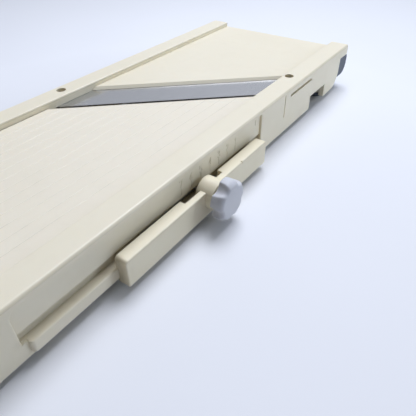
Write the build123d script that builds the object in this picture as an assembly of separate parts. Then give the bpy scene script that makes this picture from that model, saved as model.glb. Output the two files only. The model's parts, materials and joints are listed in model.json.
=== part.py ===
from build123d import *

import os
from math import cos, radians, sin, tan

# Mandoline slicer. +X runs from the handle end to the far end, +Y to the user's left, +Z up.
# The origin is the middle of the footprint, on the surface that the rubber feet stand on.
# All sizes are in millimetres.

# --- body shell ---
BODY_NEAR_X = -200.0
BODY_FAR_X = 198.0
BODY_WIDTH = 150.0
BODY_CENTRE_Y = 11.5
RIGHT_Y = BODY_CENTRE_Y - BODY_WIDTH / 2
LEFT_Y = BODY_CENTRE_Y + BODY_WIDTH / 2
BODY_BOTTOM = 4.0
RAIL_TOP = 37.0
RAIL_WIDTH = 17.0
WALL = 4.5
SKIN = 3.0
RAIL_WEB_BOTTOM = 26.0
INNER_RIGHT_Y = RIGHT_Y + RAIL_WIDTH
INNER_LEFT_Y = LEFT_Y - RAIL_WIDTH
WALL_SPAN_Y = (RIGHT_Y + WALL, LEFT_Y - WALL)
PLATE_TOP = 33.2
PLATE_SETBACK = 26.2
PLATE_SLOPE_WIDTH = 2.4
PLATE_LIP_Z = 31.3
END_WALL_X = (179.0, 182.0)
END_STEP_Z = 28.5
HEEL_RADIUS = 14.0
NEAR_BEAM_X = (BODY_NEAR_X, -172.5)

# --- blade, set across the body at an angle ---
BLADE_ANGLE = 41.6
BLADE_WIDTH = 28.4
BLADE_TOP = 31.1
BLADE_THICKNESS = 1.2
BLADE_BOTTOM = BLADE_TOP - BLADE_THICKNESS
CUTTING_EDGE_X = 19.9
BEVEL_WIDTH = 3.2
EDGE_THICKNESS = 0.15
LEDGE_SETBACK = (14.0, 31.5)
LEDGE_BOTTOM = 27.4
WALL_SLOT_SETBACK = (-4.9, 24.3)
WALL_SLOT_TOP = 32.1
BLADE_SPAN_Y = (RIGHT_Y + 3.0, LEFT_Y - WALL - 0.4)
BLADE_SCREW_PLACES = ((-17.8, 78.9), (99.7, -51.4))
BLADE_SCREW_RADIUS = 1.5
SCREW_WELL_RADIUS = 3.6
BLADE_BOSS_BOTTOM = 24.8

# --- feed table ---
TABLE_TOP = 32.7
TABLE_THICKNESS = 3.0
TABLE_NEAR_X = -172.0
TABLE_SIDE_GAP = 0.6
THROAT_GAP = 6.3
SKIRT_SETBACK = -10.7
TABLE_GROOVE_PITCH = 8.48
TABLE_GROOVE_COUNT = 12
TABLE_GROOVES_CENTRE_Y = 13.1
PIN_RADIUS = 2.0
PIN_Z = 20.0
RIGHT_PIN_X = (-108.0, -18.0)
LEFT_PIN_X = (-108.0, -44.0)
POST_X = -140.0
POST_SPREAD = 31.5
POST_RADIUS = 2.5

# --- thickness adjuster ---
TRAVEL = 47.5
OVERTRAVEL = 1.5
RAMP_SLOPE = 1 / 9.5
CHEEK_Z = (8.5, 24.4)
CHEEK_INSET = 6.0
CHEEK_THICKNESS = 4.0
CARRIER_BAR_X = (-80.0, -66.0)
RECESS_X = (-163.5, 35.1)
RECESS_TOP = 33.6
RECESS_DEPTH = 1.5
SLIDER_GROOVE_Z = (13.3, 19.0)
SLIDER_GROOVE_DEPTH = 3.2
GUIDE_RAIL_X = (-161.0, 20.0)
GUIDE_RAIL_Z = (6.5, 13.3)
GUIDE_RAIL_FACE_Y = RIGHT_Y - 2.5
SLIDER_X = (-110.8, 26.0)
SLIDER_Z = (4.3, 21.2)
SLIDER_FACE_Y = RIGHT_Y - 9.3
SLIDER_BACK_Y = RIGHT_Y - 1.7
LOCK_X = -37.3
LOCK_Z = 16.1
BOSS_RADIUS = 9.3
BOSS_FACE_Y = RIGHT_Y - 14.0
STUD_RADIUS = 2.5
WASHER_THICKNESS = 1.0
KNOB_BACK_Y = BOSS_FACE_Y - WASHER_THICKNESS
KNOB_THICKNESS = 8.0
KNOB_RADIUS = 12.8
KNOB_LOBES = 5
KNOB_FLUTE_TURN = 52.0
STUD_END_Y = -48.2

# --- rubber parts ---
BUMPER_FAR_X = 200.0
BUMPER_Z = (11.5, 28.5)
PEG_RADIUS = 3.0
PEG_PLACES_Y = [BODY_CENTRE_Y + offset for offset in (-52.5, -17.5, 17.5, 52.5)]
PEG_Z = 22.0
FOOT_RADIUS = 6.0
FOOT_PLUG_RADIUS = 3.0
FOOT_PLUG_TOP = 8.0
FOOT_INSET = 11.5
FOOT_X = {"near": -186.0, "far": 160.0}
NOTCH_X = (120.0, 150.6)
NOTCH_TOP = 15.5

# The cutting edge and every line parallel to it are described in this slanted frame.
ANGLE = radians(BLADE_ANGLE)
SQUARE_TO_EDGE = (cos(ANGLE), sin(ANGLE))
ALONG_EDGE = (-sin(ANGLE), cos(ANGLE), 0)
LONG = 400.0


def block(x, y, z):
    """A box given by its low and high value along each axis."""
    centre = Pos((x[0] + x[1]) / 2, (y[0] + y[1]) / 2, (z[0] + z[1]) / 2)
    return centre * Box(x[1] - x[0], y[1] - y[0], z[1] - z[0])


def upright_rod(x, y, z, radius):
    """A cylinder along Z between two heights."""
    return Pos(x, y, (z[0] + z[1]) / 2) * Cylinder(radius, z[1] - z[0])


def cross_rod(x, y, z, radius):
    """A cylinder along Y between two side positions."""
    return Pos(x, (y[0] + y[1]) / 2, z) * Rot(90, 0, 0) * Cylinder(radius, y[1] - y[0])


def extruded(corners, direction, length):
    """A prism whose end face has the given corners."""
    return extrude(make_face(Polyline(*corners, close=True)), amount=length, dir=direction)


def mirrored(part):
    """The same part on the other side of the body's middle plane."""
    return part.mirror(Plane.XZ.offset(-BODY_CENTRE_Y))


def diagonal_x(y, setback):
    """X of the line that lies a given distance behind the cutting edge."""
    return CUTTING_EDGE_X + setback / cos(ANGLE) - (y - BODY_CENTRE_Y) * tan(ANGLE)


def diagonal_prism(section, y):
    """A bar along the cutting edge. Its section holds (setback, height) pairs."""
    corners = [
        (CUTTING_EDGE_X + s * SQUARE_TO_EDGE[0], BODY_CENTRE_Y + s * SQUARE_TO_EDGE[1], z)
        for s, z in section
    ]
    face = make_face(Polyline(*corners, close=True))
    bar = extrude(face, amount=LONG, dir=ALONG_EDGE, both=True)
    return bar & block((-LONG, LONG), y, (-LONG, LONG))


def side_rail():
    """The right side wall, the rail top and the rail's inner web in one section."""
    section = [
        (RIGHT_Y, BODY_BOTTOM),
        (RIGHT_Y + WALL, BODY_BOTTOM),
        (RIGHT_Y + WALL, RAIL_TOP - SKIN),
        (INNER_RIGHT_Y - SKIN, RAIL_TOP - SKIN),
        (INNER_RIGHT_Y - SKIN, RAIL_WEB_BOTTOM),
        (INNER_RIGHT_Y, RAIL_WEB_BOTTOM),
        (INNER_RIGHT_Y, RAIL_TOP),
        (RIGHT_Y, RAIL_TOP),
    ]
    corners = [(BODY_NEAR_X, y, z) for y, z in section]
    rail = extruded(corners, (1, 0, 0), BODY_FAR_X - BODY_NEAR_X)
    long_edges = rail.edges().filter_by(Axis.X)
    top_edges = long_edges.filter_by_position(Axis.Z, RAIL_TOP - 0.1, RAIL_TOP + 0.1)
    rail = fillet(top_edges.sort_by(Axis.Y)[0], 2.0)
    long_edges = rail.edges().filter_by(Axis.X)
    top_edges = long_edges.filter_by_position(Axis.Z, RAIL_TOP - 0.1, RAIL_TOP + 0.1)
    return fillet(top_edges.sort_by(Axis.Y)[-1], 1.2)


def rail_end_plates(x):
    """Plates that close the hollow under both rails at one end."""
    right = block(x, (RIGHT_Y + 2.0, INNER_RIGHT_Y - 1.0), (END_STEP_Z, RAIL_TOP - 1.0))
    return right + mirrored(right)


def near_beam():
    """The handle end: a hollow cross beam, open below, with a post for each foot."""
    x = NEAR_BEAM_X
    beam = block(x, WALL_SPAN_Y, (BODY_BOTTOM, TABLE_TOP))
    inside_y = (WALL_SPAN_Y[0] - 1.0, WALL_SPAN_Y[1] + 1.0)
    beam -= block((x[0] + SKIN, x[1] - SKIN), inside_y, (BODY_BOTTOM - 1.0, TABLE_TOP - SKIN))
    return beam


def landing_plate():
    """The plate beyond the blade, sloping down to a thin lip over the back of the blade."""
    y = (INNER_RIGHT_Y - 1.0, INNER_LEFT_Y + 1.0)
    z = (PLATE_TOP - SKIN, PLATE_TOP)
    corners = [
        (diagonal_x(y[0], PLATE_SETBACK), y[0], z[0]),
        (BODY_FAR_X, y[0], z[0]),
        (BODY_FAR_X, y[1], z[0]),
        (diagonal_x(y[1], PLATE_SETBACK), y[1], z[0]),
    ]
    above_slope = [
        (PLATE_SETBACK - 0.1, PLATE_LIP_Z),
        (PLATE_SETBACK, PLATE_LIP_Z),
        (PLATE_SETBACK + PLATE_SLOPE_WIDTH, PLATE_TOP),
        (PLATE_SETBACK + PLATE_SLOPE_WIDTH, PLATE_TOP + 1.0),
        (PLATE_SETBACK - 0.1, PLATE_TOP + 1.0),
    ]
    return extruded(corners, (0, 0, 1), z[1] - z[0]) - diagonal_prism(above_slope, y)


def blade_ledge():
    """The slanted ledge that the back of the blade lies on, tied to the plate behind it."""
    z = (LEDGE_BOTTOM, PLATE_TOP - SKIN + 0.5)
    section = [
        (LEDGE_SETBACK[0], z[0]),
        (LEDGE_SETBACK[1], z[0]),
        (LEDGE_SETBACK[1], z[1]),
        (LEDGE_SETBACK[0], z[1]),
    ]
    return diagonal_prism(section, (INNER_RIGHT_Y - SKIN, INNER_LEFT_Y + SKIN))


def underside_ribs():
    """Shallow stiffening ribs below the landing plate and a slanted rib under the blade ledge."""
    z = (21.0, PLATE_TOP - SKIN)
    rib_thickness = 2.5
    slanted_setback = (LEDGE_SETBACK[1] - rib_thickness, LEDGE_SETBACK[1])
    ribs = [
        block((x, x + rib_thickness), (INNER_RIGHT_Y - SKIN, INNER_LEFT_Y + SKIN), z)
        for x in (112.0, 145.0)
    ]
    middle = (BODY_CENTRE_Y - rib_thickness / 2, BODY_CENTRE_Y + rib_thickness / 2)
    ribs.append(block((diagonal_x(BODY_CENTRE_Y, slanted_setback[0]), END_WALL_X[1]), middle, z))
    slanted = [
        (slanted_setback[0], z[0]),
        (slanted_setback[1], z[0]),
        (slanted_setback[1], z[1]),
        (slanted_setback[0], z[1]),
    ]
    ribs.append(diagonal_prism(slanted, (INNER_RIGHT_Y - SKIN, INNER_LEFT_Y + SKIN)))
    return ribs


def blade_bosses():
    """The pillars above and below each end of the blade that the screws go through."""
    lower_z = (BLADE_BOSS_BOTTOM, BLADE_BOTTOM)
    bosses = []
    for x, y in BLADE_SCREW_PLACES:
        bosses.append(upright_rod(x, y, lower_z, 5.0))
        bosses.append(upright_rod(x, y, (BLADE_TOP, RAIL_TOP - 1.0), 5.0))
        side = (y, LEFT_Y - 1.0) if y > BODY_CENTRE_Y else (RIGHT_Y + 1.0, y)
        bosses.append(block((x - 1.25, x + 1.25), side, lower_z))
    return bosses


def carriage_ledges():
    """Ledges along the inside of both walls that the ramp carriage runs on."""
    ledge = block((-166.0, 45.0), (RIGHT_Y + WALL, RIGHT_Y + WALL + 6.5), (5.0, 8.2))
    return [ledge, mirrored(ledge)]


def post_crossbar():
    """The low bar from wall to wall that carries the two guide posts."""
    bar = block((POST_X - 6.0, POST_X + 6.0), WALL_SPAN_Y, (BODY_BOTTOM, 7.5))
    for side in (-1, 1):
        bar -= upright_rod(POST_X, BODY_CENTRE_Y + side * POST_SPREAD, (5.0, 8.0), POST_RADIUS)
    return bar


def end_wall():
    """The upright wall behind the rubber bumper, and the shelf above the bumper."""
    y = (RIGHT_Y + 1.0, LEFT_Y - 1.0)
    wall = block(END_WALL_X, y, (BODY_BOTTOM, PLATE_TOP - 1.0))
    wall += block((END_WALL_X[0], BODY_FAR_X), y, (END_STEP_Z, PLATE_TOP - 1.0))
    for peg_y in PEG_PLACES_Y:
        peg_hole = Rot(0, 90, 0) * Cylinder(PEG_RADIUS, 20.0)
        wall -= Pos(sum(END_WALL_X) / 2, peg_y, PEG_Z) * peg_hole
    return wall


def far_end_cut():
    """What is taken off the walls at the far end: the step for the bumper and the heel curve."""
    y = (RIGHT_Y - 1.0, LEFT_Y + 1.0)
    step = block((END_WALL_X[1], BODY_FAR_X + 1.0), y, (0.0, END_STEP_Z))
    centre_x = END_WALL_X[1] - HEEL_RADIUS
    centre_z = BODY_BOTTOM + HEEL_RADIUS
    heel = block((centre_x, END_WALL_X[1] + 1.0), y, (0.0, centre_z))
    heel -= cross_rod(centre_x, y, centre_z, HEEL_RADIUS)
    return [step, heel]


def foot_places():
    """The name and the centre of each foot."""
    sides = {"right": RIGHT_Y + FOOT_INSET, "left": LEFT_Y - FOOT_INSET}
    return {
        f"{end}_{side}_foot": (x, y)
        for end, x in FOOT_X.items()
        for side, y in sides.items()
    }


def foot_posts():
    """Posts inside the body that take the plug of each foot, tied to the wall beside them."""
    posts = []
    for x, y in foot_places().values():
        posts.append(upright_rod(x, y, (BODY_BOTTOM, TABLE_TOP - 1.0), 5.5))
        side = (y, LEFT_Y - 1.0) if y > BODY_CENTRE_Y else (RIGHT_Y + 1.0, y)
        posts.append(block((x - 1.25, x + 1.25), side, (BODY_BOTTOM, TABLE_TOP - 1.0)))
    return posts


def guide_rail():
    """The rail along the outside of the right wall that the thickness slider rides on."""
    rail = block(GUIDE_RAIL_X, (GUIDE_RAIL_FACE_Y, RIGHT_Y + RECESS_DEPTH), GUIDE_RAIL_Z)
    near_corner = rail.edges().filter_by(Axis.Z).group_by(Axis.X)[0].sort_by(Axis.Y)[0]
    rail = fillet(near_corner, 1.8)
    front_edges = rail.edges().filter_by(Axis.X).sort_by(Axis.Y)[0:2]
    return fillet(front_edges.sort_by(Axis.Z)[-1], 0.8)


def recess_panel():
    """The shallow panel in the right wall that carries the scale."""
    z = (GUIDE_RAIL_Z[1] - 0.3, RECESS_TOP)
    panel = block(RECESS_X, (RIGHT_Y - 1.0, RIGHT_Y + RECESS_DEPTH), z)
    corner = panel.edges().filter_by(Axis.Y).group_by(Axis.Z)[-1].sort_by(Axis.X)[0]
    return fillet(corner, 5.0)


def right_rail():
    """The right rail with its recessed panel, softened along the panel's border."""
    rail = side_rail() - recess_panel()
    border = rail.edges().filter_by_position(Axis.Y, RIGHT_Y - 0.01, RIGHT_Y + 0.01)
    border = border.filter_by_position(Axis.X, RECESS_X[0] - 0.1, RECESS_X[1] + 0.1)
    border = border.filter_by_position(Axis.Z, GUIDE_RAIL_Z[1], RECESS_TOP + 0.1)
    return fillet(border, 0.8)


def slider_groove():
    """The groove in the panel just above the guide rail."""
    return block(RECESS_X, (RIGHT_Y, RIGHT_Y + SLIDER_GROOVE_DEPTH), SLIDER_GROOVE_Z)


def stud_slot():
    """The slot through the wall that the clamping stud travels along."""
    x = (LOCK_X - TRAVEL - 3.5, LOCK_X + OVERTRAVEL + 3.5)
    return block(x, (RIGHT_Y, RIGHT_Y + WALL + 1.0), SLIDER_GROOVE_Z)


def blade_slot():
    """The slot that the blade lies in, through the rail webs, and its mouth in the right wall."""
    clearance = 0.15
    section = [
        (-clearance, BLADE_BOTTOM),
        (BLADE_WIDTH + clearance, BLADE_BOTTOM),
        (BLADE_WIDTH + clearance, BLADE_TOP + 0.05),
        (-clearance, BLADE_TOP + 0.05),
    ]
    mouth = [
        (WALL_SLOT_SETBACK[0], BLADE_BOTTOM),
        (WALL_SLOT_SETBACK[1], BLADE_BOTTOM),
        (WALL_SLOT_SETBACK[1], WALL_SLOT_TOP),
        (WALL_SLOT_SETBACK[0], WALL_SLOT_TOP),
    ]
    return [
        diagonal_prism(section, (BLADE_SPAN_Y[0] - 0.2, LEFT_Y - WALL)),
        diagonal_prism(mouth, (RIGHT_Y - 1.0, RIGHT_Y + WALL)),
    ]


def screw_wells():
    """The wells through the rail tops and the screw holes below the blade."""
    wells = []
    for x, y in BLADE_SCREW_PLACES:
        wells.append(upright_rod(x, y, (BLADE_TOP, RAIL_TOP + 1.0), SCREW_WELL_RADIUS))
        wells.append(upright_rod(x, y, (BLADE_BOSS_BOTTOM - 1.0, BLADE_TOP), 2.2))
    return wells


def rim_notches():
    """The notches in both walls that hook over the rim of a bowl."""
    return block(NOTCH_X, (RIGHT_Y - 1.0, LEFT_Y + 1.0), (BODY_BOTTOM - 1.0, NOTCH_TOP))


def foot_sockets():
    """The blind holes for the plugs of the feet."""
    z = (BODY_BOTTOM - 1.0, FOOT_PLUG_TOP)
    return [upright_rod(x, y, z, FOOT_PLUG_RADIUS) for x, y in foot_places().values()]


def handle_corners():
    """What rounds the two upright corners at the handle end."""
    radius = 6.0
    x = (BODY_NEAR_X - 1.0, BODY_NEAR_X + radius)
    z = (0.0, RAIL_TOP + 1.0)
    corner = block(x, (RIGHT_Y - 1.0, RIGHT_Y + radius), z)
    corner -= upright_rod(BODY_NEAR_X + radius, RIGHT_Y + radius, z, radius)
    return [corner, mirrored(corner)]


def wall_mark():
    """The fine upright groove in the right wall beside the blade slot."""
    return block((70.1, 71.6), (RIGHT_Y - 1.0, RIGHT_Y + 0.5), (16.5, 34.4))


def body_frame():
    """The moulded body: rails, walls, landing plate and all that is moulded on to it."""
    body = right_rail() + mirrored(side_rail())
    body += rail_end_plates((BODY_NEAR_X, BODY_NEAR_X + SKIN))
    body += rail_end_plates((BODY_FAR_X - SKIN, BODY_FAR_X))
    body += [near_beam(), landing_plate(), blade_ledge(), end_wall(), post_crossbar()]
    body += underside_ribs() + carriage_ledges()
    body += blade_bosses() + foot_posts()
    body -= [rim_notches(), slider_groove()] + far_end_cut() + handle_corners()
    body -= screw_wells() + foot_sockets()
    body += guide_rail()
    body -= [stud_slot(), wall_mark()] + blade_slot()
    return body


def main_blade():
    """The steel blade, bevelled below along its cutting edge, with a hole for each screw."""
    section = [
        (0.0, BLADE_TOP - EDGE_THICKNESS),
        (BEVEL_WIDTH, BLADE_BOTTOM),
        (BLADE_WIDTH, BLADE_BOTTOM),
        (BLADE_WIDTH, BLADE_TOP),
        (0.0, BLADE_TOP),
    ]
    blade = diagonal_prism(section, BLADE_SPAN_Y)
    for x, y in BLADE_SCREW_PLACES:
        blade -= upright_rod(x, y, (BLADE_BOTTOM - 1.0, BLADE_TOP + 1.0), 1.7)
    return blade


def blade_screw(x, y):
    """A pan-head screw with a cross recess that holds one end of the blade."""
    head_z = (BLADE_TOP, BLADE_TOP + 2.0)
    head = upright_rod(x, y, head_z, 2.7)
    head = fillet(head.edges().sort_by(Axis.Z)[-1], 0.7)
    screw = head + upright_rod(x, y, (BLADE_BOSS_BOTTOM, BLADE_TOP), BLADE_SCREW_RADIUS)
    recess_z = (head_z[1] - 1.0, head_z[1] + 1.0)
    screw -= block((x - 1.5, x + 1.5), (y - 0.3, y + 0.3), recess_z)
    return screw - block((x - 0.3, x + 0.3), (y - 1.5, y + 1.5), recess_z)


def blade_insert(x, y):
    """The brass insert below the blade that the screw threads into."""
    z = (BLADE_BOSS_BOTTOM, BLADE_BOTTOM - 0.5)
    return upright_rod(x, y, z, 2.2) - upright_rod(x, y, z, BLADE_SCREW_RADIUS)


def table_outline(z):
    """Corners of the feed table: square at the handle end, slanted beside the blade."""
    y = (INNER_RIGHT_Y + TABLE_SIDE_GAP, INNER_LEFT_Y - TABLE_SIDE_GAP)
    return [
        (TABLE_NEAR_X, y[0], z),
        (diagonal_x(y[0], -THROAT_GAP), y[0], z),
        (diagonal_x(y[1], -THROAT_GAP), y[1], z),
        (TABLE_NEAR_X, y[1], z),
    ]


def table_grooves():
    """The fine lines along the table, which let wet food slide."""
    width = 0.5
    depth = 0.12
    grooves = []
    for i in range(TABLE_GROOVE_COUNT):
        y = TABLE_GROOVES_CENTRE_Y + (i - (TABLE_GROOVE_COUNT - 1) / 2) * TABLE_GROOVE_PITCH
        section = [
            (y - width / 2, TABLE_TOP + 0.01),
            (y + width / 2, TABLE_TOP + 0.01),
            (y, TABLE_TOP - depth),
        ]
        corners = [(TABLE_NEAR_X - 1.0, a, z) for a, z in section]
        length = diagonal_x(y, -THROAT_GAP) - TABLE_NEAR_X - 1.5
        grooves.append(extruded(corners, (1, 0, 0), length))
    return grooves


def pin_blocks(places, skirt_y, outward):
    """The blocks under one side of the table that its follower pins are pressed into."""
    inner = skirt_y - outward * 6.0
    y = (min(skirt_y, inner), max(skirt_y, inner))
    return [block((x - 4.0, x + 4.0), y, (16.5, TABLE_TOP - 1.0)) for x in places]


def feed_table():
    """The moving table that carries the food to the blade."""
    top = extruded(table_outline(TABLE_TOP - TABLE_THICKNESS), (0, 0, 1), TABLE_THICKNESS)
    right_y = INNER_RIGHT_Y + TABLE_SIDE_GAP
    left_y = INNER_LEFT_Y - TABLE_SIDE_GAP
    z = (22.0, TABLE_TOP - 1.0)
    right_x = (TABLE_NEAR_X, diagonal_x(right_y, SKIRT_SETBACK))
    left_x = (TABLE_NEAR_X, diagonal_x(left_y, SKIRT_SETBACK))
    table = top + block(right_x, (right_y, right_y + 2.5), z)
    table += block(left_x, (left_y - 2.5, left_y), z)
    table += block((TABLE_NEAR_X, TABLE_NEAR_X + 2.5), (right_y, left_y), z)
    for y in (BODY_CENTRE_Y - 16.0, BODY_CENTRE_Y + 16.0):
        table += block((TABLE_NEAR_X, diagonal_x(y, SKIRT_SETBACK)), (y - 1.0, y + 1.0), z)
    table += pin_blocks(RIGHT_PIN_X, right_y, -1) + pin_blocks(LEFT_PIN_X, left_y, 1)
    for side in (-1, 1):
        y = BODY_CENTRE_Y + side * POST_SPREAD
        table += upright_rod(POST_X, y, (13.5, TABLE_TOP - 1.0), 6.5)
        table -= upright_rod(POST_X, y, (13.0, TABLE_TOP - TABLE_THICKNESS), 4.5)
    table -= table_grooves()
    for pin in follower_pins():
        table -= pin
    return table


def follower_pins():
    """The four steel pins that ride in the slots of the ramp carriage."""
    right_tip = RIGHT_Y + CHEEK_INSET - 0.8
    right_root = INNER_RIGHT_Y + TABLE_SIDE_GAP + 5.0
    left_tip = LEFT_Y - CHEEK_INSET + 0.8
    left_root = INNER_LEFT_Y - TABLE_SIDE_GAP - 5.0
    pins = [cross_rod(x, (right_tip, right_root), PIN_Z, PIN_RADIUS) for x in RIGHT_PIN_X]
    pins += [cross_rod(x, (left_root, left_tip), PIN_Z, PIN_RADIUS) for x in LEFT_PIN_X]
    return pins


def guide_post(side):
    """A steel post that keeps the table from moving along or across."""
    return upright_rod(POST_X, BODY_CENTRE_Y + side * POST_SPREAD, (5.0, 21.5), POST_RADIUS)


def guide_bushing(side):
    """The bushing in the table that slides on a guide post."""
    y = BODY_CENTRE_Y + side * POST_SPREAD
    z = (13.5, TABLE_TOP - TABLE_THICKNESS)
    return upright_rod(POST_X, y, z, 4.5) - upright_rod(POST_X, y, z, POST_RADIUS + 0.06)


def ramp_slot(pin_x, y):
    """One slanted slot. Its upper end holds the pin when the slider is at its far stop."""
    half_width = PIN_RADIUS + 0.3
    start = (pin_x - OVERTRAVEL - 0.5, PIN_Z + (OVERTRAVEL + 0.5) * RAMP_SLOPE)
    end = (pin_x + TRAVEL + 0.5, PIN_Z - (TRAVEL + 0.5) * RAMP_SLOPE)
    corners = [
        (start[0], y[0], start[1] - half_width),
        (end[0], y[0], end[1] - half_width),
        (end[0], y[0], end[1] + half_width),
        (start[0], y[0], start[1] + half_width),
    ]
    slot = extruded(corners, (0, 1, 0), y[1] - y[0])
    return slot + cross_rod(start[0], y, start[1], half_width) + cross_rod(end[0], y, end[1], half_width)


def carriage_cheek(pin_places, y):
    """One side plate of the carriage with its two slanted slots."""
    x = (min(pin_places) - 6.0, max(pin_places) + TRAVEL + 6.5)
    cheek = block(x, y, CHEEK_Z)
    for pin_x in pin_places:
        cheek -= ramp_slot(pin_x, (y[0] - 1.0, y[1] + 1.0))
    return cheek


def ramp_carriage():
    """The inner carriage: two slotted cheeks, a cross bar and the boss for the stud."""
    right_y = (RIGHT_Y + CHEEK_INSET, RIGHT_Y + CHEEK_INSET + CHEEK_THICKNESS)
    left_y = (LEFT_Y - CHEEK_INSET - CHEEK_THICKNESS, LEFT_Y - CHEEK_INSET)
    carriage = carriage_cheek(RIGHT_PIN_X, right_y) + carriage_cheek(LEFT_PIN_X, left_y)
    carriage += block(CARRIER_BAR_X, (right_y[0], left_y[1]), (CHEEK_Z[0], 11.0))
    boss_y = (right_y[0], right_y[1] + 2.5)
    carriage += cross_rod(LOCK_X, boss_y, LOCK_Z, 5.5)
    return carriage - cross_rod(LOCK_X, (boss_y[0] - 1.0, boss_y[1] + 1.0), LOCK_Z, 3.5)


def carriage_insert():
    """The brass threaded insert in the carriage that the stud screws into."""
    y = (RIGHT_Y + CHEEK_INSET, RIGHT_Y + CHEEK_INSET + CHEEK_THICKNESS + 2.5)
    return cross_rod(LOCK_X, y, LOCK_Z, 3.5) - cross_rod(LOCK_X, y, LOCK_Z, STUD_RADIUS + 0.06)


def slider_channel():
    """The outer channel of the slider, wrapped over and under the guide rail."""
    x = SLIDER_X
    channel = block(x, (SLIDER_FACE_Y, SLIDER_BACK_Y), SLIDER_Z)
    end_tops = channel.edges().group_by(Axis.Z)[-1].filter_by(Axis.Y)
    channel = fillet(end_tops, 2.0)
    front = channel.edges().filter_by_position(Axis.Y, SLIDER_FACE_Y - 0.01, SLIDER_FACE_Y + 0.01)
    channel = fillet(front.filter_by_position(Axis.Z, SLIDER_Z[0] + 0.1, SLIDER_Z[1] + 0.1), 0.8)
    rail_room = block(
        (x[0] - 1.0, x[1] + 1.0),
        (GUIDE_RAIL_FACE_Y - 0.3, SLIDER_BACK_Y + 1.0),
        (GUIDE_RAIL_Z[0] - 0.3, GUIDE_RAIL_Z[1] + 0.3),
    )
    web_back = SLIDER_FACE_Y + SKIN
    core_x = (x[0] + SKIN, x[1] - SKIN)
    core = block(core_x, (web_back, GUIDE_RAIL_FACE_Y), (GUIDE_RAIL_Z[0] - 0.3, SLIDER_Z[1] - SKIN))
    return channel - [rail_room, core]


def slider_flange_notch():
    """The notch in the slider's top flange on both sides of the boss."""
    y = (SLIDER_BACK_Y - 3.6, SLIDER_BACK_Y + 1.0)
    return block((-59.6, -22.2), y, (SLIDER_Z[1] - 6.0, SLIDER_Z[1] + 1.0))


def slider_boss():
    """The round boss that the knob bears on, shaped to clear the guide rail."""
    boss = cross_rod(LOCK_X, (BOSS_FACE_Y, SLIDER_BACK_Y - 0.8), LOCK_Z, BOSS_RADIUS)
    boss = fillet(boss.edges().filter_by(GeomType.CIRCLE).sort_by(Axis.Y)[0], 0.5)
    rail_room = block(
        (LOCK_X - 20.0, LOCK_X + 20.0),
        (GUIDE_RAIL_FACE_Y - 0.3, SLIDER_BACK_Y + 1.0),
        (0.0, GUIDE_RAIL_Z[1] + 0.3),
    )
    return boss - rail_room


def thickness_slider():
    """The outer slider that sets the thickness of the slices."""
    slider = slider_channel() - slider_flange_notch() + slider_boss()
    slider -= cross_rod(LOCK_X, (BOSS_FACE_Y - 1.0, SLIDER_BACK_Y + 1.0), LOCK_Z, STUD_RADIUS + 0.25)
    mark_x = -5.5
    mark_y = (SLIDER_FACE_Y - 1.0, SLIDER_FACE_Y + 1.4)
    return slider - block((mark_x - 0.4, mark_x + 0.4), mark_y, (19.4, 22.0))


def lock_washer():
    """The washer between the knob and the boss."""
    y = (KNOB_BACK_Y, BOSS_FACE_Y)
    return cross_rod(LOCK_X, y, LOCK_Z, 6.5) - cross_rod(LOCK_X, y, LOCK_Z, STUD_RADIUS + 0.25)


def lock_knob():
    """The hand knob, with a scooped flute between each pair of lobes."""
    y = (KNOB_BACK_Y - KNOB_THICKNESS, KNOB_BACK_Y)
    knob = cross_rod(LOCK_X, y, LOCK_Z, KNOB_RADIUS)
    knob = fillet(knob.edges().filter_by(GeomType.CIRCLE), 1.6)
    flute_radius = 5.5
    for i in range(KNOB_LOBES):
        turn = radians(KNOB_FLUTE_TURN + 360.0 / KNOB_LOBES * i)
        reach = KNOB_RADIUS + 3.4
        flute = cross_rod(0, (y[0] + 1.8, y[1] + 1.0), 0, flute_radius)
        knob -= Pos(LOCK_X + reach * cos(turn), 0, LOCK_Z + reach * sin(turn)) * flute
    return knob - cross_rod(LOCK_X, (KNOB_BACK_Y - 5.5, KNOB_BACK_Y + 1.0), LOCK_Z, 3.6)


def knob_insert():
    """The brass collar moulded into the knob around the stud."""
    y = (KNOB_BACK_Y - 5.5, KNOB_BACK_Y)
    return cross_rod(LOCK_X, y, LOCK_Z, 3.6) - cross_rod(LOCK_X, y, LOCK_Z, STUD_RADIUS)


def stud_ring_y():
    """The two faces of the retaining ring near the inner end of the stud."""
    return (STUD_END_Y - 1.6, STUD_END_Y - 0.8)


def lock_stud():
    """The clamping stud, with a groove for its retaining ring."""
    stud = cross_rod(LOCK_X, (KNOB_BACK_Y - 5.5, STUD_END_Y), LOCK_Z, STUD_RADIUS)
    groove = cross_rod(LOCK_X, stud_ring_y(), LOCK_Z, STUD_RADIUS + 1.0)
    groove -= cross_rod(LOCK_X, stud_ring_y(), LOCK_Z, STUD_RADIUS - 0.6)
    return stud - groove


def stud_ring():
    """The retaining ring that keeps the stud from being unscrewed all the way."""
    ring = cross_rod(LOCK_X, stud_ring_y(), LOCK_Z, 4.3)
    ring -= cross_rod(LOCK_X, stud_ring_y(), LOCK_Z, STUD_RADIUS - 0.6)
    gap_y = (STUD_END_Y - 3.0, STUD_END_Y)
    return ring - block((LOCK_X - 1.2, LOCK_X + 1.2), gap_y, (LOCK_Z + 1.0, LOCK_Z + 6.0))


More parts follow.
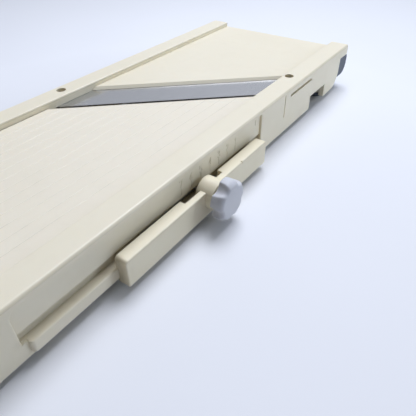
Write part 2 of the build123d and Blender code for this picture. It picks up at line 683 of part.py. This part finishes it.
def end_bumper():
    """The rubber bar across the far end, with pegs through the end wall."""
    centre_x = END_WALL_X[1] - HEEL_RADIUS
    centre_z = BODY_BOTTOM + HEEL_RADIUS
    y = (RIGHT_Y + 0.2, LEFT_Y - 0.2)
    bar = block((centre_x, BUMPER_FAR_X), y, BUMPER_Z)
    outer = bar.edges().filter_by(Axis.Y).group_by(Axis.X)[-1].sort_by(Axis.Z)
    bar = fillet(outer[0], 9.0)
    outer = bar.edges().filter_by(Axis.Y).group_by(Axis.Z)[-1].sort_by(Axis.X)
    bar = fillet(outer[-1], 4.0)
    bar -= block((0.0, END_WALL_X[1]), (y[0] - 1.0, y[1] + 1.0), (centre_z, BUMPER_Z[1] + 1.0))
    bar -= cross_rod(centre_x, (y[0] - 1.0, y[1] + 1.0), centre_z, HEEL_RADIUS)
    for peg_y in PEG_PLACES_Y:
        peg = Rot(0, 90, 0) * Cylinder(PEG_RADIUS, END_WALL_X[1] - END_WALL_X[0] + 2.0)
        bar += Pos(sum(END_WALL_X) / 2, peg_y, PEG_Z) * peg
        head = Rot(0, 90, 0) * Cylinder(PEG_RADIUS + 1.5, 2.0)
        bar += Pos(END_WALL_X[0] - 1.0, peg_y, PEG_Z) * head
    return bar


def rubber_foot(x, y):
    """A round foot with a plug that is pressed into the body."""
    pad = upright_rod(x, y, (0.0, BODY_BOTTOM), FOOT_RADIUS)
    pad = fillet(pad.edges().sort_by(Axis.Z)[0], 0.8)
    return pad + upright_rod(x, y, (BODY_BOTTOM, FOOT_PLUG_TOP), FOOT_PLUG_RADIUS)


def save(name, solids, shade):
    """Write one node. A list of solids becomes one compound."""
    shape = Compound(children=list(solids)) if isinstance(solids, (list, tuple)) else solids
    shape.label = name
    shape.color = Color(*shade)
    export_step(shape, f"parts/{name}.step")


IVORY = (0.88, 0.86, 0.78)
TABLE_IVORY = (0.90, 0.88, 0.82)
STEEL = (0.62, 0.65, 0.68)
BRASS = (0.75, 0.60, 0.30)
GREY = (0.70, 0.72, 0.78)
RUBBER = (0.20, 0.22, 0.26)
WHITE = (0.93, 0.93, 0.90)

os.makedirs("parts", exist_ok=True)
save("body_frame", body_frame(), IVORY)
save("main_blade", main_blade(), STEEL)
save("blade_screws", [blade_screw(x, y) for x, y in BLADE_SCREW_PLACES], STEEL)
save("blade_inserts", [blade_insert(x, y) for x, y in BLADE_SCREW_PLACES], BRASS)
save("end_bumper", end_bumper(), RUBBER)
for foot_name, (foot_x, foot_y) in foot_places().items():
    save(foot_name, rubber_foot(foot_x, foot_y), RUBBER)
save("feed_table", feed_table(), TABLE_IVORY)
save("follower_pins", follower_pins(), STEEL)
save("right_guide_post", guide_post(-1), STEEL)
save("left_guide_post", guide_post(1), STEEL)
save("right_guide_bushing", guide_bushing(-1), WHITE)
save("left_guide_bushing", guide_bushing(1), WHITE)
save("ramp_carriage", ramp_carriage(), WHITE)
save("carriage_insert", carriage_insert(), BRASS)
save("thickness_slider", thickness_slider(), IVORY)
save("lock_washer", lock_washer(), STEEL)
save("lock_knob", lock_knob(), GREY)
save("knob_insert", knob_insert(), BRASS)
save("lock_stud", lock_stud(), STEEL)
save("stud_ring", stud_ring(), STEEL)
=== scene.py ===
import json
from math import cos, pi, radians, sin, sqrt

import bpy
from mathutils import Matrix, Vector


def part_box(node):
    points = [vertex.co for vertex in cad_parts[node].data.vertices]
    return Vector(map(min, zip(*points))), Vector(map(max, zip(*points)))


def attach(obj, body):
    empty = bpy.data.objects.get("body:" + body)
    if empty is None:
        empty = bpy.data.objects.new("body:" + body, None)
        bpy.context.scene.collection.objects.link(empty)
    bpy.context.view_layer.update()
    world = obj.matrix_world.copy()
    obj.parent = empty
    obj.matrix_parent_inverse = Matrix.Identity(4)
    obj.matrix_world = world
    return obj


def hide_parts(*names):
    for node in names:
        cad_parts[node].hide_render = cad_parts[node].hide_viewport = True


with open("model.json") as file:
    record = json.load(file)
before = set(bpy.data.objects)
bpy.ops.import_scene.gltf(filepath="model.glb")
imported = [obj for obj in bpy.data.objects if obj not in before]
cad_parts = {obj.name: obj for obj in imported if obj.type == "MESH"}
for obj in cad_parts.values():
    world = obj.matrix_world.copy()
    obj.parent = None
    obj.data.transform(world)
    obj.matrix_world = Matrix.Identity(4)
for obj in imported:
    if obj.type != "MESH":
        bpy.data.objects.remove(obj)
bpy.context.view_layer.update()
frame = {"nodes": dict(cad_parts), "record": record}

# Mandoline slicer: camera, light, materials and the pieces that replace plain CAD nodes.
# All lengths are in metres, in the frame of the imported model.

MM = 0.001


def span(node, axis):
    """Lowest and highest position of a CAD node along one axis."""
    low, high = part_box(node)
    return low[axis], high[axis]


# ---------------------------------------------------------------- node helpers

class Nodes:
    """A short way to build one material's node tree."""

    def __init__(self, name):
        self.material = bpy.data.materials.new(name)
        self.material.use_nodes = True
        self.tree = self.material.node_tree
        self.tree.nodes.clear()
        self.shader = self.add("ShaderNodeBsdfPrincipled")
        output = self.add("ShaderNodeOutputMaterial")
        self.link(self.shader, "BSDF", output, "Surface")
        self.place = self.add("ShaderNodeTexCoord")

    def add(self, kind, **settings):
        node = self.tree.nodes.new(kind)
        for key, value in settings.items():
            setattr(node, key, value)
        return node

    def link(self, source, output, target, socket):
        self.tree.links.new(source.outputs[output], target.inputs[socket])

    def mapped(self, scale=(1, 1, 1), turn=(0, 0, 0)):
        """Object position, turned and stretched."""
        mapping = self.add("ShaderNodeMapping")
        mapping.inputs["Scale"].default_value = scale
        mapping.inputs["Rotation"].default_value = turn
        self.link(self.place, "Object", mapping, "Vector")
        return mapping

    def noise(self, scale, detail=3.0, rough=0.5, mapping=None):
        noise = self.add("ShaderNodeTexNoise")
        noise.inputs["Scale"].default_value = scale
        noise.inputs["Detail"].default_value = detail
        noise.inputs["Roughness"].default_value = rough
        if mapping is None:
            self.link(self.place, "Object", noise, "Vector")
        else:
            self.link(mapping, "Vector", noise, "Vector")
        return noise

    def ramp(self, source, output, stops):
        """Colour stops, each (position, colour), over a factor."""
        ramp = self.add("ShaderNodeValToRGB")
        elements = ramp.color_ramp.elements
        elements[0].position, elements[0].color = stops[0]
        elements[1].position, elements[1].color = stops[-1]
        for position, colour in stops[1:-1]:
            elements.new(position).color = colour
        self.link(source, output, ramp, "Fac")
        return ramp

    def spread(self, source, output, low, high, start=0.3, end=0.7):
        """A factor mapped to a range of values."""
        spread = self.add("ShaderNodeMapRange")
        spread.inputs["From Min"].default_value = start
        spread.inputs["From Max"].default_value = end
        spread.inputs["To Min"].default_value = low
        spread.inputs["To Max"].default_value = high
        self.link(source, output, spread, "Value")
        return spread

    def inside_box(self, box, noise, strength):
        """A factor that is high inside a box of object positions, broken up by a noise."""
        parts = self.add("ShaderNodeSeparateXYZ")
        self.link(self.place, "Object", parts, "Vector")
        total = self.spread(noise, "Fac", strength * 0.6, strength)
        output = "Result"
        for axis, low, high, blur in box:
            for limit, rising in ((low, True), (high, False)):
                start, end = (0.0, 1.0) if rising else (1.0, 0.0)
                fade = self.spread(parts, axis, start, end, limit - blur, limit + blur)
                product = self.add("ShaderNodeMath", operation="MULTIPLY")
                self.tree.links.new(total.outputs[output], product.inputs[0])
                self.tree.links.new(fade.outputs["Result"], product.inputs[1])
                total, output = product, "Value"
        return total

    def mix(self, factor, first, second, blend="MIX"):
        """Two colours mixed by a factor. Each is a (node, output) pair or a plain colour."""
        mix = self.add("ShaderNodeMix", data_type="RGBA", blend_type=blend)
        sockets = {"Factor": mix.inputs[0], "A": mix.inputs[6], "B": mix.inputs[7]}
        for name, value in (("Factor", factor), ("A", first), ("B", second)):
            if isinstance(value, tuple) and len(value) == 2:
                self.tree.links.new(value[0].outputs[value[1]], sockets[name])
            else:
                sockets[name].default_value = value
        return mix

    def bump(self, layers):
        """Bumps one over another. Each layer is (node, output, strength, depth in metres)."""
        last = None
        for source, output, strength, depth in layers:
            bump = self.add("ShaderNodeBump")
            bump.inputs["Strength"].default_value = strength
            bump.inputs["Distance"].default_value = depth
            self.link(source, output, bump, "Height")
            if last is not None:
                self.link(last, "Normal", bump, "Normal")
            last = bump
        self.link(last, "Normal", self.shader, "Normal")

    def set(self, **values):
        """Plain values on the shader's own sockets."""
        for name, value in values.items():
            self.shader.inputs[name.replace("_", " ")].default_value = value


# ------------------------------------------------------------------- materials

# Colour of the painted shade that darkens grooves, gaps and edge roundings of the moulded plastic.
PAINTED_SHADE_COLOUR = (0.20, 0.15, 0.075, 1)


def moulded_plastic(name, colour, aged, gloss=(0.36, 0.5), grain=0.10, scatter=0.10, shade_boxes=()):
    """Satin moulded plastic: faint flow clouds, specks, fine grain, a few handling scratches and
    painted shade inside given boxes.
    """
    n = Nodes(name)
    clouds = n.noise(9.0, 4.0, 0.55)
    blotches = n.noise(55.0, 3.0, 0.6)
    specks = n.noise(1400.0, 2.0, 0.7)
    tone = n.ramp(clouds, "Fac", [(0.32, (*colour, 1)), (0.72, (*aged, 1))])
    stain = n.spread(blotches, "Fac", 0.0, 0.35, 0.52, 0.75)
    darker = tuple(c * 0.93 for c in aged)
    toned = n.mix((stain, "Result"), (tone, "Color"), (*darker, 1))
    speck = n.spread(specks, "Fac", 0.0, 0.30, 0.66, 0.78)
    speckled = n.mix((speck, "Result"), (toned, "Result"), (*tuple(c * 0.82 for c in colour), 1))
    surface = speckled
    # Painted shade: a dark brown mixed into the colour inside each given box.
    for box, strength in shade_boxes:
        shade_mask = n.inside_box(box, blotches, strength)
        surface = n.mix((shade_mask, "Value"), (surface, "Result"), PAINTED_SHADE_COLOUR)
    n.link(surface, "Result", n.shader, "Base Color")
    scratch_map = n.mapped(scale=(18.0, 620.0, 300.0), turn=(0, 0, 0.06))
    scratches = n.noise(1.0, 2.0, 0.4, scratch_map)
    scuffs = n.spread(scratches, "Fac", 0.0, 1.0, 0.66, 0.72)
    shine = n.spread(blotches, "Fac", gloss[0], gloss[1])
    n.link(shine, "Result", n.shader, "Roughness")
    fine = n.noise(2600.0, 2.0, 0.6)
    sink = n.noise(38.0, 2.0, 0.5)
    n.bump([
        (sink, "Fac", 0.12, 0.0012),
        (fine, "Fac", grain, 0.00012),
        (scuffs, "Result", 0.05, 0.00004),
    ])
    n.set(IOR=1.5, Subsurface_Weight=scatter, Subsurface_Scale=0.004)
    n.shader.inputs["Subsurface Radius"].default_value = (1.0, 0.8, 0.55)
    return n.material


def ground_steel(name, colour, along, roughness=(0.20, 0.26), line_depth=0.000004):
    """Steel with fine grinding lines that run at a given angle about Z."""
    n = Nodes(name)
    lines_map = n.mapped(scale=(30.0, 2400.0, 30.0), turn=(0, 0, -along))
    lines = n.noise(1.0, 3.0, 0.6, lines_map)
    clouds = n.noise(24.0, 3.0, 0.5)
    light = tuple(min(1.0, c * 1.04) for c in colour)
    dark = tuple(c * 0.95 for c in colour)
    tone = n.ramp(lines, "Fac", [(0.3, (*dark, 1)), (0.7, (*light, 1))])
    haze = n.spread(clouds, "Fac", 0.0, 0.35)
    hazed = n.mix((haze, "Result"), (tone, "Color"), (*dark, 1))
    n.link(hazed, "Result", n.shader, "Base Color")
    shine = n.spread(lines, "Fac", roughness[0], roughness[1])
    n.link(shine, "Result", n.shader, "Roughness")
    n.bump([(lines, "Fac", 0.25, line_depth), (clouds, "Fac", 0.03, 0.0001)])
    n.set(Metallic=1.0)
    return n.material


def turned_metal(name, colour, roughness):
    """Small turned or drawn metal parts, with fine marks and slight tarnish."""
    n = Nodes(name)
    marks = n.noise(3200.0, 2.0, 0.5)
    tarnish = n.noise(260.0, 4.0, 0.6)
    dark = tuple(c * 0.7 for c in colour)
    tone = n.ramp(tarnish, "Fac", [(0.35, (*colour, 1)), (0.75, (*dark, 1))])
    n.link(tone, "Color", n.shader, "Base Color")
    shine = n.spread(tarnish, "Fac", roughness - 0.06, roughness + 0.12)
    n.link(shine, "Result", n.shader, "Roughness")
    n.bump([(marks, "Fac", 0.15, 0.00004)])
    n.set(Metallic=1.0)
    return n.material


def dark_rubber(name, colour):
    """Matte rubber with a dusty bloom and a fine leather-like grain."""
    n = Nodes(name)
    bloom = n.noise(70.0, 4.0, 0.6)
    grain = n.noise(1500.0, 3.0, 0.6)
    pale = tuple(c * 1.7 + 0.015 for c in colour)
    tone = n.ramp(bloom, "Fac", [(0.35, (*colour, 1)), (0.8, (*pale, 1))])
    n.link(tone, "Color", n.shader, "Base Color")
    shine = n.spread(bloom, "Fac", 0.55, 0.8)
    n.link(shine, "Result", n.shader, "Roughness")
    n.bump([(grain, "Fac", 0.3, 0.00015)])
    n.set(IOR=1.5, Sheen_Weight=0.15, Sheen_Roughness=0.5)
    return n.material


def floor_finish():
    """A plain pale surface with a barely visible mottle and a painted falloff of light that darkens
    it away from the origin.
    """
    n = Nodes("pale_floor")
    mottle = n.noise(7.0, 4.0, 0.5)
    tone = n.ramp(mottle, "Fac", [(0.3, (0.78, 0.785, 0.81, 1)), (0.7, (0.795, 0.80, 0.825, 1))])
    # Painted falloff of light: the floor's colour darkens between 0.25 m and 0.65 m from the
    # origin.
    distance = n.add("ShaderNodeVectorMath", operation="LENGTH")
    n.link(n.place, "Object", distance, "Vector")
    fade = n.spread(distance, "Value", 0.0, 1.0, 0.25, 0.65)
    painted_falloff = n.mix((fade, "Result"), (tone, "Color"), (0.56, 0.565, 0.585, 1))
    n.link(painted_falloff, "Result", n.shader, "Base Color")
    shine = n.spread(mottle, "Fac", 0.6, 0.7)
    n.link(shine, "Result", n.shader, "Roughness")
    n.bump([(n.noise(900.0), "Fac", 0.05, 0.0001)])
    return n.material


# The cutting edge's slant across the body.
BLADE_TURN = radians(41.6)

# Where shade is painted into the body's colour, as fading boxes of (axis, low, high, blur), each
# with its strength.
# Above the guide rail the painted shade lies thickly behind the slider and faintly in the open
# groove.
RIGHT_WALL_Y = span("body_frame", 1)[0] + 2.5 * MM
SLIDER_X = span("thickness_slider", 0)
SHADE_BEHIND_SLIDER = (
    ("X", SLIDER_X[0] + 3 * MM, SLIDER_X[1] + 9 * MM, 2 * MM),
    ("Y", RIGHT_WALL_Y + 1.2 * MM, RIGHT_WALL_Y + 12.0 * MM, 0.5 * MM),
    ("Z", 13.0 * MM, 18.8 * MM, 0.4 * MM),
)
OPEN_GROOVE_SHADE = (
    ("X", -165.0 * MM, SLIDER_X[0] + 3 * MM, 3 * MM),
    ("Y", RIGHT_WALL_Y - 0.5 * MM, RIGHT_WALL_Y + 12.0 * MM, 0.8 * MM),
    ("Z", 12.8 * MM, 17.0 * MM, 1.2 * MM),
)
RAIL_TOP_Z = span("body_frame", 2)[1]
# Painted shade: a darker tan band along the rounding of the rail tops.
RAIL_EDGE_SHADE = (("Z", RAIL_TOP_Z - 1.7 * MM, RAIL_TOP_Z - 0.25 * MM, 0.15 * MM),)
BODY_PAINTED_SHADE = ((SHADE_BEHIND_SLIDER, 0.95), (OPEN_GROOVE_SHADE, 0.30), (RAIL_EDGE_SHADE, 0.24))
SLIDER_BACK_Y = span("thickness_slider", 1)[1]
# Painted shade on the slider's near end face and along the rounding of its top edges.
SLIDER_END_SHADE = (
    ("X", SLIDER_X[0] - 3 * MM, SLIDER_X[0] + 1.5 * MM, 1.5 * MM),
    ("Y", SLIDER_BACK_Y - 5 * MM, SLIDER_BACK_Y + 3 * MM, 2 * MM),
)
# Top of the channel. The round boss stands higher.
SLIDER_TOP_Z = 21.2 * MM
SLIDER_EDGE_SHADE = (("Z", SLIDER_TOP_Z - 1.2 * MM, SLIDER_TOP_Z - 0.2 * MM, 0.15 * MM),)
SLIDER_PAINTED_SHADE = ((SLIDER_END_SHADE, 0.55), (SLIDER_EDGE_SHADE, 0.18))
TABLE_TOP_Z = span("feed_table", 2)[1]
# Painted shade in the fine grooves on top of the feed table.
TABLE_GROOVE_SHADE = (("Z", TABLE_TOP_Z - 0.5 * MM, TABLE_TOP_Z - 0.03 * MM, 0.02 * MM),)
MATERIALS = {
    "body_ivory": moulded_plastic(
        "body_ivory", (0.84, 0.768, 0.60), (0.81, 0.735, 0.56), shade_boxes=BODY_PAINTED_SHADE
    ),
    "table_ivory": moulded_plastic(
        "table_ivory", (0.86, 0.785, 0.635), (0.83, 0.755, 0.60), shade_boxes=((TABLE_GROOVE_SHADE, 0.30),)
    ),
    "slider_ivory": moulded_plastic(
        "slider_ivory", (0.835, 0.76, 0.575), (0.795, 0.715, 0.525), shade_boxes=SLIDER_PAINTED_SHADE
    ),
    "carriage_white": moulded_plastic("carriage_white", (0.78, 0.78, 0.74), (0.74, 0.73, 0.68)),
    "knob_grey": moulded_plastic(
        "knob_grey", (0.60, 0.60, 0.625), (0.57, 0.57, 0.595), gloss=(0.42, 0.55), grain=0.2
    ),
    "blade_steel": ground_steel("blade_steel", (0.56, 0.56, 0.56), BLADE_TURN),
    "screw_steel": turned_metal("screw_steel", (0.55, 0.54, 0.52), 0.32),
    "pin_steel": turned_metal("pin_steel", (0.60, 0.60, 0.61), 0.22),
    "brass": turned_metal("brass", (0.72, 0.53, 0.24), 0.28),
    "rubber_dark": dark_rubber("rubber_dark", (0.050, 0.062, 0.085)),
}


def dress_cad_nodes():
    """Gives each CAD node the finish that its record slot names."""
    slots = {entry["node"]: entry["material_slot"] for entry in frame["record"]["subparts"]}
    for node, piece in frame["nodes"].items():
        piece.data.materials.clear()
        piece.data.materials.append(MATERIALS[slots[node]])


# Width of the rounding on the moulded pieces' hard edges.
EDGE_ROUNDING = {
    "body_frame": 0.35 * MM,
    "thickness_slider": 0.35 * MM,
    "ramp_carriage": 0.3 * MM,
    "feed_table": 0.12 * MM,
}


def soften_edges(node, width):
    """A small rounding on the hard edges of a CAD node."""
    piece = frame["nodes"][node]
    bevel = piece.modifiers.new("edge_rounding", "BEVEL")
    bevel.width = width
    bevel.segments = 2
    bevel.limit_method = "ANGLE"
    bevel.angle_limit = radians(50)
    bevel.miter_outer = "MITER_ARC"
    bevel.use_clamp_overlap = True
    bevel.harden_normals = True


# ---------------------------------------------------------------------- pieces

def mesh_piece(name, vertices, faces, material, body):
    """A new mesh object that rides on a body."""
    mesh = bpy.data.meshes.new(name)
    mesh.from_pydata(vertices, [], faces)
    mesh.validate()
    mesh.materials.append(MATERIALS[material])
    piece = bpy.data.objects.new(name, mesh)
    bpy.context.scene.collection.objects.link(piece)
    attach(piece, body)
    return piece


KNOB_LOBES = 5
KNOB_FLUTE_TURN = radians(52)
# How far the rounded nose draws the flat face in from the outline, as a share of the radius.
NOSE_INSET = 0.24


def knob_radius(turn, depth, outer):
    """Radius of the knob at an angle. depth runs from 0 at the front face to 1 at the back."""
    pitch = 2 * pi / KNOB_LOBES
    off = (turn - KNOB_FLUTE_TURN + pitch / 2) % pitch - pitch / 2
    scoop = 0.463 * outer
    reach = 1.252 * outer + 0.13 * outer * (1.0 - depth) ** 1.3
    inside = scoop ** 2 - (reach * sin(off)) ** 2
    flute = reach * cos(off) - (sqrt(inside) if inside > 0 else 0.0)
    # The scoop meets the rim over a small rounding.
    blend = 0.12 * outer
    share = min(1.0, max(0.0, 0.5 + 0.5 * (outer - flute) / blend))
    return outer * (1 - share) + flute * share - blend * share * (1 - share) / 2


def knob_profile(outer, thickness):
    """Pairs of (distance behind the front face, inset from the outline) from face to back rim."""
    nose_length = 0.34 * outer
    nose_inset = NOSE_INSET * outer
    heel = 0.05 * outer
    steps = 10
    profile = [
        (nose_length * (1 - cos(pi / 2 * i / steps)), nose_inset * (1 - sin(pi / 2 * i / steps)))
        for i in range(steps + 1)
    ]
    straight = thickness - nose_length - heel
    profile += [(nose_length + straight * i / 6, 0.0) for i in range(1, 7)]
    profile += [
        (thickness - heel * (1 - sin(pi / 2 * i / 4)), heel * (1 - cos(pi / 2 * i / 4)))
        for i in range(1, 5)
    ]
    return profile


def lobed_knob():
    """The hand knob: five lobes, with scooped flutes that grow shallower towards the flat face."""
    low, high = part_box("lock_knob")
    stud_low, stud_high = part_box("lock_stud")
    centre_x = (stud_low[0] + stud_high[0]) / 2
    centre_z = (stud_low[2] + stud_high[2]) / 2
    outer = high[0] - centre_x
    front, back = low[1], high[1]
    bore = 3.6 * MM
    bore_depth = 5.5 * MM
    steps = 180
    turns = [2 * pi * i / steps for i in range(steps)]
    rings = []
    for share in (0.25, 0.5, 0.75, 0.9):
        rings.append([
            (front, share * (knob_radius(turn, 0.0, outer) - NOSE_INSET * outer)) for turn in turns
        ])
    for behind, inset in knob_profile(outer, back - front):
        depth = behind / (back - front)
        rings.append([(front + behind, knob_radius(turn, depth, outer) - inset) for turn in turns])
    rings.append([(back, 0.6 * outer) for turn in turns])
    rings.append([(back, bore) for turn in turns])
    rings.append([(back - bore_depth, bore) for turn in turns])
    vertices = []
    for ring in rings:
        for turn, (y, radius) in zip(turns, ring):
            vertices.append((centre_x + radius * cos(turn), y, centre_z + radius * sin(turn)))
    face_centre = len(vertices)
    vertices.append((centre_x, front, centre_z))
    vertices.append((centre_x, back - bore_depth, centre_z))
    faces = []
    for i in range(steps):
        after = (i + 1) % steps
        faces.append((face_centre, i, after))
        for ring in range(len(rings) - 1):
            a, b = ring * steps, (ring + 1) * steps
            faces.append((a + after, a + i, b + i, b + after))
        last = (len(rings) - 1) * steps
        faces.append((last + after, last + i, face_centre + 1))
    knob = mesh_piece("lobed_knob", vertices, faces, "knob_grey", "knob")
    for polygon in knob.data.polygons:
        polygon.use_smooth = True
    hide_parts("lock_knob")


# Strokes of each numeral, as (x, z) points on a grid one unit wide and two units high.
NUMERALS = {
    1: [(0.2, 1.6), (0.55, 2.0), (0.55, 0.0)],
    2: [(0.0, 1.6), (0.2, 1.95), (0.8, 1.95), (1.0, 1.5), (0.0, 0.0), (1.0, 0.0)],
    3: [(0.0, 2.0), (1.0, 2.0), (0.45, 1.15), (1.0, 0.8), (0.9, 0.15), (0.4, 0.0), (0.0, 0.2)],
    4: [(0.75, 0.0), (0.75, 2.0), (0.0, 0.6), (1.0, 0.6)],
    5: [(0.95, 2.0), (0.1, 2.0), (0.05, 1.15), (0.7, 1.2), (1.0, 0.6), (0.7, 0.05), (0.0, 0.1)],
    6: [(0.85, 2.0), (0.2, 1.2), (0.0, 0.5), (0.4, 0.0), (0.95, 0.4), (0.6, 1.05), (0.1, 0.85)],
    7: [(0.0, 2.0), (1.0, 2.0), (0.35, 0.0)],
}


def add_stroke(vertices, faces, start, end, face_y, width, height):
    """A raised bar with sloping sides from one (x, z) point to another on a wall that faces -Y."""
    along = (Vector(end) - Vector(start)).normalized()
    across = Vector((-along[1], along[0]))
    first = len(vertices)
    for lift, half in ((0.0, width / 2), (height, width * 0.28)):
        for point, sense in ((start, -1), (end, 1)):
            for side in (-1, 1):
                corner = Vector(point) + along * sense * half + across * side * half
                vertices.append((corner[0], face_y - lift, corner[1]))
    corners = ((4, 5, 7, 6), (0, 4, 6, 2), (1, 3, 7, 5), (0, 1, 5, 4), (2, 6, 7, 3), (0, 2, 3, 1))
    for face in corners:
        faces.append(tuple(first + i for i in face))


def scale_marks():
    """The raised scale on the recessed panel: a tick and a numeral at each step."""
    face_y = RIGHT_WALL_Y + 1.5 * MM
    pitch = 9.5 * MM
    tick_width, stroke_width, height = 0.8 * MM, 0.7 * MM, 0.25 * MM
    vertices, faces = [], []
    for number, outline in NUMERALS.items():
        x = 12.6 * MM - number * pitch
        ends = ((x, 21.6 * MM), (x, 25.2 * MM))
        add_stroke(vertices, faces, *ends, face_y, tick_width, height)
        points = [(x + (u - 0.5) * 2.3 * MM, (26.3 + v * 2.1) * MM) for u, v in outline]
        for start, end in zip(points, points[1:]):
            add_stroke(vertices, faces, start, end, face_y, stroke_width, height)
    # A lone mark at the far end of the panel.
    ends = ((29.0 * MM, 28.4 * MM), (29.0 * MM, 31.8 * MM))
    add_stroke(vertices, faces, *ends, face_y, tick_width, height)
    mesh_piece("scale_marks", vertices, faces, "body_ivory", "frame")


# ------------------------------------------------------------ stage and camera

def make_camera():
    """The camera stands near the handle end, to the right of the body, looking down along it."""
    place = Vector((-0.1985, -0.1828, 0.1638))
    turn, tilt, roll = radians(35.37), radians(39.12), radians(-0.87)
    forward = Vector((cos(tilt) * cos(turn), cos(tilt) * sin(turn), -sin(tilt)))
    right = forward.cross(Vector((0, 0, 1))).normalized()
    up = right.cross(forward)
    rolled_right = right * cos(roll) + up * sin(roll)
    rolled_up = up * cos(roll) - right * sin(roll)
    camera = bpy.data.objects.new("camera", bpy.data.cameras.new("camera"))
    camera.data.sensor_width = 36.0
    camera.data.lens = 36.0
    camera.data.clip_start = 0.01
    axes = Matrix((rolled_right, rolled_up, -forward)).transposed()
    camera.matrix_world = Matrix.Translation(place) @ axes.to_4x4()
    bpy.context.scene.collection.objects.link(camera)
    bpy.context.scene.camera = camera


def make_floor():
    """A wide plain floor at the height of the feet."""
    mesh = bpy.data.meshes.new("floor")
    reach = 6.0
    corners = [(-reach, -reach, 0), (reach, -reach, 0), (reach, reach, 0), (-reach, reach, 0)]
    mesh.from_pydata(corners, [], [(0, 1, 2, 3)])
    mesh.materials.append(floor_finish())
    floor = bpy.data.objects.new("floor", mesh)
    bpy.context.scene.collection.objects.link(floor)


def area_light(name, place, aim, size, power, colour, spread=180):
    """A soft rectangular light."""
    light = bpy.data.lights.new(name, "AREA")
    light.shape = "RECTANGLE"
    light.size, light.size_y = size
    light.energy = power
    light.color = colour
    light.spread = radians(spread)
    lamp = bpy.data.objects.new(name, light)
    lamp.location = place
    direction = Vector(aim) - Vector(place)
    lamp.rotation_mode = "QUATERNION"
    lamp.rotation_quaternion = direction.to_track_quat("-Z", "Y")
    bpy.context.scene.collection.objects.link(lamp)


def light_scene():
    """A high soft window beyond the far end, two pale walls, a ceiling and a dim room."""
    area_light("window", (1.50, 0.34, 2.52), (0, 0, 0), (1.6, 1.6), 85.0, (0.85, 0.89, 1.0))
    area_light("far_wall", (2.30, 1.65, 1.10), (0, 0, 0), (3.6, 2.0), 12.0, (0.86, 0.90, 1.0))
    blue = (0.77, 0.87, 1.0)
    area_light("side_wall", (1.05, -0.90, 0.45), (0.32, 0.18, 0), (1.0, 0.6), 1.2, blue, spread=50)
    area_light("ceiling", (0.5, 0.2, 2.8), (0.2, 0, 0), (3.0, 3.0), 14.0, (0.84, 0.89, 1.0))
    world = bpy.data.worlds.new("sky")
    world.use_nodes = True
    background = world.node_tree.nodes["Background"]
    background.inputs["Color"].default_value = (0.80, 0.87, 1.0, 1)
    background.inputs["Strength"].default_value = 0.12
    scene = bpy.context.scene
    scene.world = world
    scene.view_settings.view_transform = "Standard"


make_camera()
make_floor()
light_scene()
dress_cad_nodes()
for node, width in EDGE_ROUNDING.items():
    soften_edges(node, width)
lobed_knob()
scale_marks()
